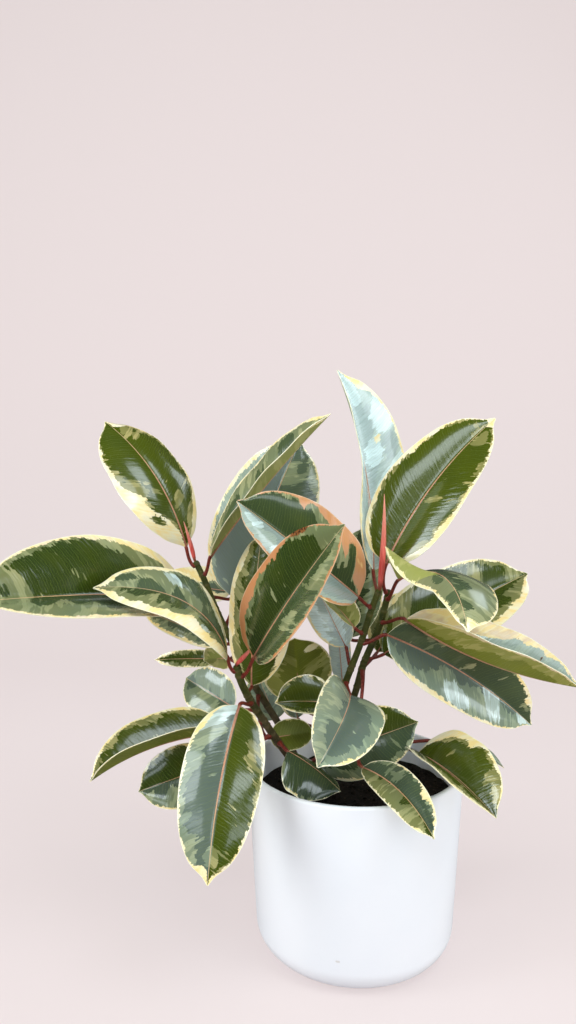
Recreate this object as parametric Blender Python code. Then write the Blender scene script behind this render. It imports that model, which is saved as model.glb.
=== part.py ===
"""A variegated rubber plant in a white pot. Each leaf grows with its petiole as one piece, and stands 0.3 mm off its stem.

Lengths in the constants and in the tables are millimetres, turned into metres when a mesh is made. The centre of the pot's
foot is the origin, +Z is up and the plant's front is -Y.
"""

from math import cos, pi, radians, sin

import bpy
from mathutils import Vector

MM = 0.001
GAP = 0.3

# The pot: a 10 inch cover pot, a little narrower at the foot, with a wide round edge under it.
POT_HEIGHT = 214.0
RIM_RADIUS = 125.0
FOOT_RADIUS = 113.5
FOOT_ROUND = 30.0
WALL = 7.0
FLOOR = 10.0
LIP_ROUND = 3.5
TURNS = 64

# The soil stands a hand's breadth under the rim, and each stem goes down into it.
SOIL_TOP = 180.0
SOCKET_DEPTH = 40.0

# A leaf's blade and petiole.
PETIOLE_RADIUS = 2.2
BLADE_HALF_THICKNESS = 0.55
KEEL_DEPTH = 1.1

# How wide a blade is along its length, as a share of its widest half: round at the base, a short drip tip at the end.
OUTLINE = (
    (0.00, 0.06),
    (0.03, 0.34),
    (0.09, 0.60),
    (0.19, 0.84),
    (0.32, 0.97),
    (0.46, 1.00),
    (0.60, 0.96),
    (0.73, 0.85),
    (0.84, 0.66),
    (0.915, 0.42),
    (0.96, 0.16),
    (1.00, 0.02),
)

# Stem: radius low down, radius at the top, then the points it passes through from the soil up.
STEMS = {
    "stem_a": (4.8, 3.6, ((-62, 46, 186), (-88, 43, 240), (-118, 42, 290), (-142, 41, 337), (-165, 40, 386), (-180, 38, 425), (-189, 38, 444))),
    "stem_b": (4.8, 4.2, ((-52, 6, 186), (-82, 4, 224), (-108, -12, 269), (-124, -25, 300), (-133, -36, 327), (-135, -40, 338))),
    "stem_c": (4.6, 3.6, ((-46, 28, 186), (-28, 20, 243), (-11, 10, 302), (8, 0, 359), (18, -6, 395), (26, -10, 418))),
    "stem_d": (4.6, 3.8, ((-28, 38, 186), (-13, 30, 240), (3, 24, 290), (11, 20, 322), (30, 16, 371), (40, 12, 414))),
}

# Sheath over a growing tip: its stem, its length, its widest radius and the way it points.
SHEATHS = {
    "sheath_a": ("stem_a", 48, 2.6, (-0.26, -0.04, 0.96)),
    "sheath_b": ("stem_b", 33, 2.6, (0.64, -0.18, 0.74)),
    "sheath_c": ("stem_c", 108, 3.6, (0.03, -0.06, 1.0)),
}

# Leaf, named by the letter of its stem: height of its node, blade base, blade tip, half width, the way
# its upper face looks, arch and sway of the midrib (shares of the blade's length), fold (degrees), and
# where it is widest (1 is halfway, less is nearer the tip, more is nearer the base).
LEAVES = {
    "a1": (440, (-200, 38, 462), (-302, 72, 611), 50, (0.50, -0.72, 0.50), 0.10, 0.03, -12, 0.85),
    "a2": (427, (-170, 35, 451), (-29, 12, 618), 41, (-0.74, -0.35, 0.57), 0.02, 0.00, 18, 0.85),
    "a3": (398, (-147, 72, 395), (-63, 94, 590), 60, (0.00, -1.00, 0.10), 0.03, 0.00, 10, 1.00),
    "a4": (380, (-199, 20, 404), (-367, -190, 438), 63, (0.63, -0.40, 0.66), 0.03, 0.00, 34, 1.00),
    "a5": (364, (-150, 85, 398), (-262, 110, 392), 34, (0.10, -0.60, 0.75), 0.08, 0.00, 8, 1.00),
    "a6": (345, (-158, 30, 346), (-250, 20, 388), 18, (0.20, -0.80, 0.50), 0.04, 0.00, 8, 1.00),
    "a7": (330, (-160, 92, 310), (-250, 100, 307), 12, (-0.10, -0.80, 0.50), 0.04, 0.00, 6, 1.00),
    "a8": (316, (-153, 64, 318), (-184, 75, 313), 22, (0.10, 0.80, 0.50), 0.06, 0.00, 6, 1.15),
    "a9": (236, (-94, 90, 232), (-119, 108, 289), 26, (0.10, -0.90, 0.30), 0.05, 0.00, 8, 1.00),
    "a10": (280, (-99, 23, 232), (-47, 24, 240), 19, (0.00, 0.95, -0.20), 0.05, 0.00, 8, 1.00),
    "a11": (305, (-120, 85, 318), (-90, 215, 400), 40, (0.00, -0.50, 0.85), 0.08, 0.00, 10, 1.00),
    "b1": (333, (-145, -48, 352), (-275, -110, 437), 42, (0.60, -0.35, 0.72), 0.22, 0.00, 4, 1.00),
    "b2": (325, (-115, -55, 352), (-21, -112, 502), 47, (-0.70, -0.70, 0.18), 0.03, 0.00, 24, 1.00),
    "b3": (300, (-120, -4, 305), (-108, 22, 483), 46, (-0.54, -0.83, 0.15), 0.03, 0.00, -14, 1.00),
    "b4": (292, (-131, -60, 299), (-157, -155, 150), 42, (0.10, -0.85, 0.52), 0.06, 0.03, 6, 1.08),
    "b5": (280, (-141, 0, 277), (-203, 50, 298), 28, (-0.43, -0.70, 0.55), 0.05, 0.00, 6, 1.00),
    "b6": (266, (-149, -28, 258), (-295, -60, 214), 38, (-0.27, -0.10, 0.95), 0.08, 0.00, 38, 1.00),
    "b7": (248, (-160, -20, 218), (-242, -60, 203), 34, (0.30, -0.80, 0.45), 0.05, 0.00, 6, 1.00),
    "b8": (200, (-45, 10, 212), (69, -30, 271), 39, (-0.05, -0.93, 0.35), 0.03, 0.00, 10, 1.00),
    "b9": (236, (-78, -20, 233), (-20, -60, 203), 38, (0.30, -0.38, 0.87), 0.05, 0.00, -36, 1.00),
    "c1": (414, (25, 44, 433), (-16, 109, 677), 52, (0.53, -0.83, 0.23), 0.02, 0.045, 37, 1.00),
    "c2": (397, (1, -16, 411), (-134, -40, 521), 53, (0.47, -0.81, 0.36), 0.02, 0.00, 28, 1.00),
    "c3": (366, (-2, -8, 374), (-44, -25, 420), 20, (0.50, 0.70, 0.50), 0.05, 0.00, 20, 1.00),
    "c4": (355, (36, -8, 365), (207, 4, 255), 44, (0.10, -0.98, 0.15), 0.02, -0.045, 22, 1.05),
    "c5": (326, (-10, 16, 346), (-55, 38, 440), 26, (-0.30, -0.90, 0.30), 0.04, 0.00, 15, 1.00),
    "c6": (252, (-64, 45, 268), (-70, 22, 354), 43, (0.00, 0.95, -0.25), 0.05, 0.00, 8, 1.00),
    "c7": (305, (-8, -26, 300), (-49, -140, 263), 43, (0.48, -0.45, 0.74), 0.12, 0.00, 28, 0.90),
    "c8": (285, (-29, 6, 281), (-93, -22, 290), 30, (0.40, -0.58, 0.70), 0.05, 0.00, 32, 1.10),
    "c9": (240, (-66, 50, 248), (-84, 70, 306), 18, (0.10, -0.90, 0.30), 0.05, 0.00, 15, 1.00),
    "d1": (411, (36, 4, 447), (163, 24, 613), 53, (-0.40, -0.78, 0.49), 0.02, -0.05, 14, 1.15),
    "d2": (404, (48, -12, 430), (95, -150, 401), 56, (0.10, -0.20, 0.97), 0.20, -0.07, 22, 0.90),
    "d3": (376, (56, -18, 385), (241, -60, 319), 45, (0.25, -0.35, 0.90), -0.07, 0.00, 46, 1.00),
    "d4": (330, (38, 38, 331), (232, 114, 417), 57, (-0.02, -0.72, 0.68), 0.03, 0.00, 20, 1.10),
    "d5": (350, (-2, 44, 350), (18, 84, 482), 32, (0.00, -1.00, 0.10), 0.03, 0.00, 8, 1.00),
    "d6": (262, (70, -27, 233), (127, -148, 215), 45, (-0.05, -0.28, 0.96), 0.07, 0.00, 40, 1.00),
    "d7": (215, (104, 48, 220), (188, 45, 186), 20, (0.10, -0.10, 0.99), 0.10, 0.00, 8, 1.00),
    "d8": (318, (34, 72, 325), (120, 190, 370), 38, (0.00, -0.50, 0.85), 0.08, 0.00, 10, 1.00),
    "d9": (316, (4, -60, 230), (59, -186, 213), 22, (-0.44, -0.25, 0.86), 0.04, -0.06, 22, 0.85),
    "d10": (274, (-11, 49, 288), (-21, 41, 398), 13.5, (0.00, -0.95, 0.10), 0.03, 0.00, 8, 1.00),
}

# Leaves whose halves lie unlike each other, or are curled. Left half, then right half: fold at the base, fold
# from 60% of the length on, and the share of the half's width that is left of the curl, at the same two places.
UNEVEN = {
    "a2": ((18, 18, 1, 1), (36, 36, 1, 1)),
    "a4": ((34, 34, 1, 1), (26, 26, 1, 1)),
    "b6": ((38, 38, 1, 1), (50, 50, 1, 1)),
    "c1": ((30, 50, 1, 1), (37, 37, 1, 1)),
    "d2": ((-5, -12, 1, 1), (60, -30, 1.45, 0.35)),
    "d3": ((60, 60, 1, 1), (60, 60, 1, 1)),
}


def new_piece(name, points, faces, colour, roughness):
    """One closed mesh from points in millimetres, with its own material."""
    mesh = bpy.data.meshes.new(name)
    mesh.from_pydata([tuple(MM * c for c in point) for point in points], [], faces)
    piece = bpy.data.objects.new(name, mesh)
    bpy.context.scene.collection.objects.link(piece)
    material = bpy.data.materials.new(name)
    material.use_nodes = True
    shader = material.node_tree.nodes["Principled BSDF"]
    shader.inputs["Base Color"].default_value = (*colour, 1.0)
    shader.inputs["Roughness"].default_value = roughness
    mesh.materials.append(material)
    return piece


def skin(rings, reach=None):
    """Faces over equal rings of points, each seen turning left when looking back along the way they run, capped at
    both ends. With a reach for each place on the ring, every face is cut in two from the place of more reach, so that
    two skins close to each other bend alike."""
    count = len(rings[0])
    faces = [tuple(reversed(range(count)))]
    for row in range(len(rings) - 1):
        for i in range(count):
            j = (i + 1) % count
            a, b, c, d = row * count + i, row * count + j, (row + 1) * count + j, (row + 1) * count + i
            if not reach:
                faces.append((a, b, c, d))
            elif reach[i] > reach[j]:
                faces += [(a, b, c), (a, c, d)]
            else:
                faces += [(a, b, d), (b, c, d)]
    last = (len(rings) - 1) * count
    faces.append(tuple(range(last, last + count)))
    return [point for ring in rings for point in ring], faces


def turned(profile, turns=TURNS):
    """A lathe: (radius, height) pairs from the axis at the bottom, round the outside, and back to the axis at the top."""
    points, rows = [], []
    for radius, height in profile:
        if radius < 1e-6:
            rows.append([len(points)] * turns)
            points.append(Vector((0, 0, height)))
            continue
        rows.append(list(range(len(points), len(points) + turns)))
        for i in range(turns):
            angle = 2 * pi * i / turns
            points.append(Vector((radius * cos(angle), radius * sin(angle), height)))
    faces = []
    for low, high in zip(rows, rows[1:]):
        for i in range(turns):
            j = (i + 1) % turns
            corners = [low[i], low[j], high[j], high[i]]
            faces.append(tuple(dict.fromkeys(corners)))
    return points, faces


def wall_radius(height):
    """Radius of the pot's outside at a height above its round foot."""
    return FOOT_RADIUS + (RIM_RADIUS - FOOT_RADIUS) * height / POT_HEIGHT


def corner(centre, radius, start, stop, steps):
    """Points of an arc in the lathe's half plane."""
    found = []
    for i in range(steps + 1):
        angle = radians(start + (stop - start) * i / steps)
        found.append((centre[0] + radius * cos(angle), centre[1] + radius * sin(angle)))
    return found


def pot_profile():
    foot_edge = wall_radius(FOOT_ROUND) - FOOT_ROUND
    inner_round = FOOT_ROUND - WALL
    outside = [(0, 0)] + corner((foot_edge, FOOT_ROUND), FOOT_ROUND, -90, 0, 6)
    lip = corner((RIM_RADIUS - LIP_ROUND, POT_HEIGHT - LIP_ROUND), LIP_ROUND, 0, 180, 6)
    inside_edge = wall_radius(FLOOR + inner_round) - WALL - inner_round
    inside = corner((inside_edge, FLOOR + inner_round), inner_round, 0, -90, 4)
    return outside + lip + inside + [(0, FLOOR)]


def soil_profile():
    inner_round = FOOT_ROUND - WALL
    inside_edge = wall_radius(FLOOR + inner_round) - WALL - inner_round
    low = FLOOR + inner_round
    under = [(0, FLOOR + GAP)] + corner((inside_edge, low), inner_round - GAP, -90, 0, 4)
    # The top dips a little from the middle to the wall.
    top = [(wall_radius(SOIL_TOP - 5) - WALL - 2 * GAP, SOIL_TOP - 5), (90, SOIL_TOP - 2), (45, SOIL_TOP), (0, SOIL_TOP)]
    return under + top


def stem_line(name):
    """The stem's points, from the bottom of its socket straight up to the soil's top and then along the table's route."""
    route = [Vector(point) for point in STEMS[name][2]]
    foot = Vector((route[0].x, route[0].y, SOIL_TOP - SOCKET_DEPTH))
    return [foot] + route


def stem_at(name, height):
    """(point, direction, radius) of a stem at a height."""
    line = stem_line(name)
    low, high = STEMS[name][0], STEMS[name][1]
    share = (height - line[0].z) / (line[-1].z - line[0].z)
    for start, stop in zip(line, line[1:]):
        if height <= stop.z:
            t = (height - start.z) / (stop.z - start.z)
            return start.lerp(stop, t), (stop - start).normalized(), low + (high - low) * share
    return line[-1].copy(), (line[-1] - line[-2]).normalized(), high


def ring_round(centre, along, radius, sides, start=Vector((1, 0, 0))):
    """A ring of points about a direction."""
    across = (start - along * start.dot(along)).normalized()
    over = along.cross(across)
    found = []
    for i in range(sides):
        angle = 2 * pi * i / sides
        found.append(centre + across * (radius * cos(angle)) + over * (radius * sin(angle)))
    return found


def stem_piece(name):
    line = stem_line(name)
    low, high = STEMS[name][0], STEMS[name][1]
    rings = []
    for i, point in enumerate(line):
        before = line[max(i - 1, 0)]
        after = line[min(i + 1, len(line) - 1)]
        # Below the soil's top the stem is upright, so that it fits its socket.
        along = Vector((0, 0, 1)) if i < 2 else (after - before).normalized()
        share = (point.z - line[0].z) / (line[-1].z - line[0].z)
        rings.append(ring_round(point, along, low + (high - low) * share if i > 1 else low, 12))
    # A low dome closes the growing tip.
    along = (line[-1] - line[-2]).normalized()
    rings.append(ring_round(line[-1] + along * 1.6, along, high * 0.6, 12))
    return skin(rings)


def sheath_piece(name):
    stem, length, radius, way = SHEATHS[name]
    line = stem_line(stem)
    stem_way = (line[-1] - line[-2]).normalized()
    way = Vector(way).normalized()
    foot = line[-1] + stem_way * (1.6 + GAP)
    rings = []
    for share, wide in ((0.0, 0.62), (0.06, 0.80), (0.20, 1.0), (0.42, 0.92), (0.68, 0.62), (0.88, 0.30), (1.0, 0.06)):
        along = stem_way.lerp(way, min(1.0, 4 * share)).normalized()
        rings.append(ring_round(foot + way * (length * share), along, radius * wide, 8))
    return skin(rings)


def leaf_frame(base, tip, face, arch, sway, t):
    """(point, along, side, up) on the midrib at a share t of the blade."""
    chord = tip - base
    up = (face - chord * (face.dot(chord) / chord.length_squared)).normalized()
    side = chord.normalized().cross(up)
    bow = (up * arch + side * sway) * chord.length
    point = base + chord * t + bow * (4 * t * (1 - t))
    along = (chord + bow * (4 - 8 * t)).normalized()
    up = (up - along * up.dot(along)).normalized()
    return point, along, along.cross(up), up


def half_way(key, t, right):
    """(fold from flat, share of its width) of one half of a blade at a share t of its length."""
    fold = LEAVES[key][7]
    inner, outer, first, last = UNEVEN.get(key, ((fold, fold, 1, 1), (fold, fold, 1, 1)))[right]
    done = min(1.0, t / 0.6)
    return radians(inner + (outer - inner) * done * done * (3 - 2 * done)), first + (last - first) * done


def leaf_piece(key):
    height, base, tip, half, face, arch, sway, _, widest = LEAVES[key]
    base, tip, face = Vector(base), Vector(tip), Vector(face)
    _, along, side, up = leaf_frame(base, tip, face, arch, sway, 0.0)

    # The petiole leaves its stem at a slant, and comes in along the midrib.
    node, stem_way, radius = stem_at("stem_" + key[0], height)
    out = base - node
    out = (out - stem_way * out.dot(stem_way)).normalized()
    foot = node + out * (radius + GAP)
    reach = (base - foot).length
    way_out = (out + (base - foot).normalized() * 1.3).normalized()
    bends = (foot, foot + way_out * (0.3 * reach), base - along * (0.25 * reach), base)
    rings = []
    for t in (0.0, 0.3, 0.6):
        s = 1 - t
        point = bends[0] * s**3 + bends[1] * (3 * s * s * t) + bends[2] * (3 * s * t * t) + bends[3] * t**3
        way = (bends[1] - bends[0]) * s * s + (bends[2] - bends[1]) * (2 * s * t) + (bends[3] - bends[2]) * t * t
        if t == 0.0:
            way = out
        rings.append(ring_round(point, way.normalized(), PETIOLE_RADIUS, 8, -side))

    for t, share in OUTLINE:
        t = t**widest
        point, along, side, up = leaf_frame(base, tip, face, arch, sway, t)
        wide = max(half * share, 0.5)
        near_base = max(0.0, 1 - t / 0.15)
        near_tip = min(1.0, (1 - t) / 0.15)
        thick = BLADE_HALF_THICKNESS + (PETIOLE_RADIUS - BLADE_HALF_THICKNESS) * near_base**2
        top = up * thick * (0.4 + 0.6 * near_tip)
        keel = up * (max(thick, KEEL_DEPTH) * (0.4 + 0.6 * near_tip))
        left, left_share = half_way(key, t, False)
        right, right_share = half_way(key, t, True)
        left_way = (up * sin(left) - side * cos(left)) * (0.5 * wide * left_share)
        right_way = (up * sin(right) + side * cos(right)) * (0.5 * wide * right_share)
        left_mid, right_mid = point + left_way, point + right_way
        left_edge, right_edge = left_mid + left_way, right_mid + right_way
        # Turning from the left margin over the midrib to the right margin, and back underneath.
        rings.append(
            [left_edge, left_mid + top, point + top, right_mid + top]
            + [right_edge, right_mid - top, point - keel, left_mid - top]
        )
    return skin(rings, (2, 1, 0, 1, 2, 1, 0, 1))


def main():
    for thing in list(bpy.data.objects):
        bpy.data.objects.remove(thing)

    new_piece("pot", *turned(pot_profile()), (0.86, 0.87, 0.88), 0.35)
    soil = new_piece("soil", *turned(soil_profile(), 48), (0.03, 0.022, 0.018), 0.95)
    for name, (low, _, route) in STEMS.items():
        x, y, _ = route[0]
        bottom = Vector((x, y, SOIL_TOP - SOCKET_DEPTH - GAP))
        up = Vector((0, 0, 1))
        rings = [ring_round(bottom, up, low + GAP, 16), ring_round(bottom + up * (SOCKET_DEPTH + 20), up, low + GAP, 16)]
        cutter = new_piece("socket_" + name, *skin(rings), (0, 0, 0), 1)
        cutter.hide_render = True
        cutter.display_type = "WIRE"
        cut = soil.modifiers.new("socket_" + name, "BOOLEAN")
        cut.operation = "DIFFERENCE"
        cut.solver = "EXACT"
        cut.object = cutter
    for name in STEMS:
        new_piece(name, *stem_piece(name), (0.10, 0.11, 0.03), 0.6)
    for name in SHEATHS:
        new_piece(name, *sheath_piece(name), (0.52, 0.07, 0.06), 0.45)
    for key in LEAVES:
        new_piece("leaf_" + key, *leaf_piece(key), (0.05, 0.12, 0.04), 0.35)


main()
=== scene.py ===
# %% [markdown]
# # A variegated rubber plant in a white pot
#
# A rubber plant is a fig with thick, glossy, pointed leaves. This one has four leaning stems, and each
# leaf is dark green in the middle, grey-green further out and cream at its margin. The solids of every
# leaf, stem and sheath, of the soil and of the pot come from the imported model. This lesson dresses them:
# each solid is replaced by a finer piece that lies where the solid lies.
#
# All lengths in the tables are millimetres. They become metres when a mesh is made.

import bpy
import numpy as np
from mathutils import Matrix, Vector, noise


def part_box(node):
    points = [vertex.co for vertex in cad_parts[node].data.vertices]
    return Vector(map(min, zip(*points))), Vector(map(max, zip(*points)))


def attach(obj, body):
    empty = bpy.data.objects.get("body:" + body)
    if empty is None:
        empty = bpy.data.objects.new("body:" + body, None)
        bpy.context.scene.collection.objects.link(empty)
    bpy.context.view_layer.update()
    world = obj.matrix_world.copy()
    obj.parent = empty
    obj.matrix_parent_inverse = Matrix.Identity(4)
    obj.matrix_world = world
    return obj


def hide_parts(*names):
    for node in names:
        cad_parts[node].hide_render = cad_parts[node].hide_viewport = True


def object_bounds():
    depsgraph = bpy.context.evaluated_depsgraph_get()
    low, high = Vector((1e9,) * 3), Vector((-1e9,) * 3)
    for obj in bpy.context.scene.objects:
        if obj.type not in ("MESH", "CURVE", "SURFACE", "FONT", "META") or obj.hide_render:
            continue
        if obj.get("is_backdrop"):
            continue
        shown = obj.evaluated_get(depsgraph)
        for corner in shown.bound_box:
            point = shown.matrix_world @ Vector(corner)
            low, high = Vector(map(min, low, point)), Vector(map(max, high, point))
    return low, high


MM = 0.001
FULL_TURN = 6.2832
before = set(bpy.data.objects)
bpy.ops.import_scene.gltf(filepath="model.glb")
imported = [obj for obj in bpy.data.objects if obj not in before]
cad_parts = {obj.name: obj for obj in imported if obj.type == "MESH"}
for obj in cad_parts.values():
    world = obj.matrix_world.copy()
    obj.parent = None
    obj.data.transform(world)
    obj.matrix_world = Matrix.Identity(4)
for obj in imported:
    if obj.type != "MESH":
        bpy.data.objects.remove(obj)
solid_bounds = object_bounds()

# %% [markdown]
# ## Habits for operators
#
# Blender's operators act on whatever is selected, and a loaded model is selected all over. So each step
# first clears the selection, and then picks what it works on.


# %% Pick one piece
def pick(*pieces):
    """Selects these pieces alone, and makes the first one active."""
    bpy.ops.object.select_all(action="DESELECT")
    for piece in pieces:
        piece.select_set(True)
    bpy.context.view_layer.objects.active = pieces[0]


def added(name):
    """The piece that an operator has just added, under its name."""
    piece = bpy.context.view_layer.objects.active
    piece.name = piece.data.name = name
    return piece


def add(name, operator, **settings):
    """A new primitive under a name, added while nothing is selected."""
    bpy.ops.object.select_all(action="DESELECT")
    operator(**settings)
    return added(name)


def link(name, data):
    """A new object of this data, in the scene."""
    piece = bpy.data.objects.new(name, data)
    bpy.context.scene.collection.objects.link(piece)
    return piece


def apply_modifiers(piece):
    pick(piece)
    for modifier in list(piece.modifiers):
        bpy.ops.object.modifier_apply(modifier=modifier.name)


def smooth(piece, degrees):
    pick(piece)
    bpy.ops.object.shade_smooth_by_angle(angle=np.radians(degrees))


def pick_top_faces(piece):
    """In edit mode, selects the faces that look straight up."""
    bpy.ops.object.mode_set(mode="EDIT")
    bpy.ops.mesh.select_mode(type="FACE")
    bpy.ops.mesh.select_all(action="DESELECT")
    bpy.ops.object.mode_set(mode="OBJECT")
    for face in piece.data.polygons:
        face.select = face.normal.z > 0.9
    bpy.ops.object.mode_set(mode="EDIT")


def hand_over(piece, node):
    """The piece rides on the plant and stands for its solid, which is hidden."""
    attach(piece, "root")
    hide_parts(node)


# %% [markdown]
# ## A notebook for materials
#
# A material is a net of small nodes. Two helpers keep the net readable: a Finish adds nodes, wires what they
# are given and hands back what they put out, and those Values can be added and multiplied like numbers.


# %% Helpers that build node nets
class Value:
    """What a node puts out: a number, a vector or a colour."""

    def __init__(self, finish, socket):
        self.finish, self.socket = finish, socket

    def math(self, operation, other=0.0, clamp=False):
        return self.finish.node("Math", {0: self, 1: other}, operation=operation, use_clamp=clamp)

    def __add__(self, other):
        return self.math("ADD", other)

    def __sub__(self, number):
        return self + -number

    def __mul__(self, other):
        return self.math("MULTIPLY", other)

    def above(self, limit, width):
        """0 below a limit and 1 above it, with an edge as wide as width."""
        return (self - limit).math("DIVIDE", width).math("ADD", 0.5, clamp=True)

    def below(self, limit, width):
        return (self * -1.0).above(-limit, width)

    def swing(self, size):
        """A number from 0 to 1 becomes one from minus half the size to plus half of it."""
        return (self - 0.5) * size


class Finish:
    def __init__(self, name, roughness, specular=0.5):
        self.material = bpy.data.materials.new(name)
        self.material.use_nodes = True
        self.tree = self.material.node_tree
        self.shader = self.tree.nodes["Principled BSDF"]
        self.set(self.shader, {"Roughness": roughness, "Specular IOR Level": specular})

    def set(self, node, values):
        """Gives a node's sockets their numbers, colours or Values."""
        for name, value in values.items():
            if isinstance(value, Value):
                self.tree.links.new(value.socket, node.inputs[name])
            elif node.inputs[name].type == "RGBA":
                node.inputs[name].default_value = (*value, 1.0)
            else:
                node.inputs[name].default_value = value

    def node(self, kind, values, outputs=(0,), **settings):
        node = self.tree.nodes.new("ShaderNode" + kind)
        for name, value in settings.items():
            setattr(node, name, value)
        self.set(node, values)
        found = [Value(self, node.outputs[name]) for name in outputs]
        return found if len(found) > 1 else found[0]

    def attribute(self, name, *outputs):
        return self.node("Attribute", {}, outputs, attribute_name=name)

    def split(self, vector):
        return self.node("SeparateXYZ", {0: vector}, (0, 1, 2))

    def point(self, x=0.0, y=0.0, z=0.0):
        return self.node("CombineXYZ", {0: x, 1: y, 2: z})

    def place(self):
        return self.node("TexCoord", {}, ("Object",))

    def cloud(self, vector, scale=1.0, detail=2.0, roughness=0.5):
        values = {"Vector": vector, "Scale": scale, "Detail": detail, "Roughness": roughness}
        return self.node("TexNoise", values, ("Fac",))

    def dice(self, vector):
        return self.node("TexWhiteNoise", {"Vector": vector}, ("Value",))

    def mix(self, share, first, second):
        return self.node("Mix", {0: share, 6: first, 7: second}, (2,), data_type="RGBA")

    def bump(self, height, distance, strength=1.0):
        values = {"Strength": strength, "Distance": distance, "Height": height}
        self.set(self.shader, {"Normal": self.node("Bump", values)})

    def colour(self, value):
        self.set(self.shader, {"Base Color": value})


# %% [markdown]
# ## The variegated blade
#
# Variegation follows the leaf's own plumbing. The side veins leave the midrib at a slant, and each strip
# between two of them is green, grey-green or cream for some way in from the margin. That is why the
# colours meet in long jagged fingers. So the pattern isn't painted in space. It is worked out from numbers
# that each blade carries, with lengths in millimetres, and the shader only makes the edges ragged:
#
# - `grain`: where the point's side vein starts on the midrib, how far across the point lies, and how far in
#   from the margin.
# - `look`: how far inside the cream and the grey-green it is (less than zero is outside), how pale it is,
#   and how salmon the cream is. The paleness is partly the leaf's own and partly a painted sky sheen.
# - `tone`: how olive the green is, and how far inside a rust mark and inside a pale patch the point is. A
#   pale patch is partly the leaf's own and partly a painted sheen.

# %% The blade's upper and under face
# Each colour on the upper face, and on the under face.
SHADES = {
    "dark": ((0.011, 0.034, 0.007), (0.075, 0.100, 0.020)),
    "olive": ((0.060, 0.082, 0.001), (0.200, 0.230, 0.012)),
    "grey": ((0.120, 0.172, 0.088), (0.250, 0.280, 0.080)),
    "light": ((0.275, 0.345, 0.190), (0.360, 0.400, 0.150)),
    "khaki": ((0.240, 0.230, 0.070), (0.320, 0.330, 0.060)),
    "straw": ((0.480, 0.420, 0.170), (0.480, 0.450, 0.140)),
    # Pale blue-white: partly the leaf's own pale patches, partly a painted sky sheen.
    "pale": ((0.740, 0.920, 0.930), (0.420, 0.520, 0.400)),
    "cream": ((0.960, 0.770, 0.340), (0.820, 0.700, 0.270)),
    # The edge colour is a lighter cream, and also the painted highlight along the rim.
    "edge": ((0.960, 0.930, 0.680), (0.900, 0.860, 0.560)),
    "salmon": ((0.560, 0.220, 0.085), (0.600, 0.300, 0.140)),
    "vein": ((0.180, 0.240, 0.060), (0.330, 0.370, 0.110)),
}
RUST, CHAR, SCORCH = (0.40, 0.12, 0.03), (0.045, 0.018, 0.006), (0.300, 0.110, 0.030)
VEIN_SPACING = 3.4
FINE_VEIN_SPACING = 1.24
FINE_STRIP, COARSE_STRIP = 1.7, 4.6
OTHER_HALF = 37.0


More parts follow.
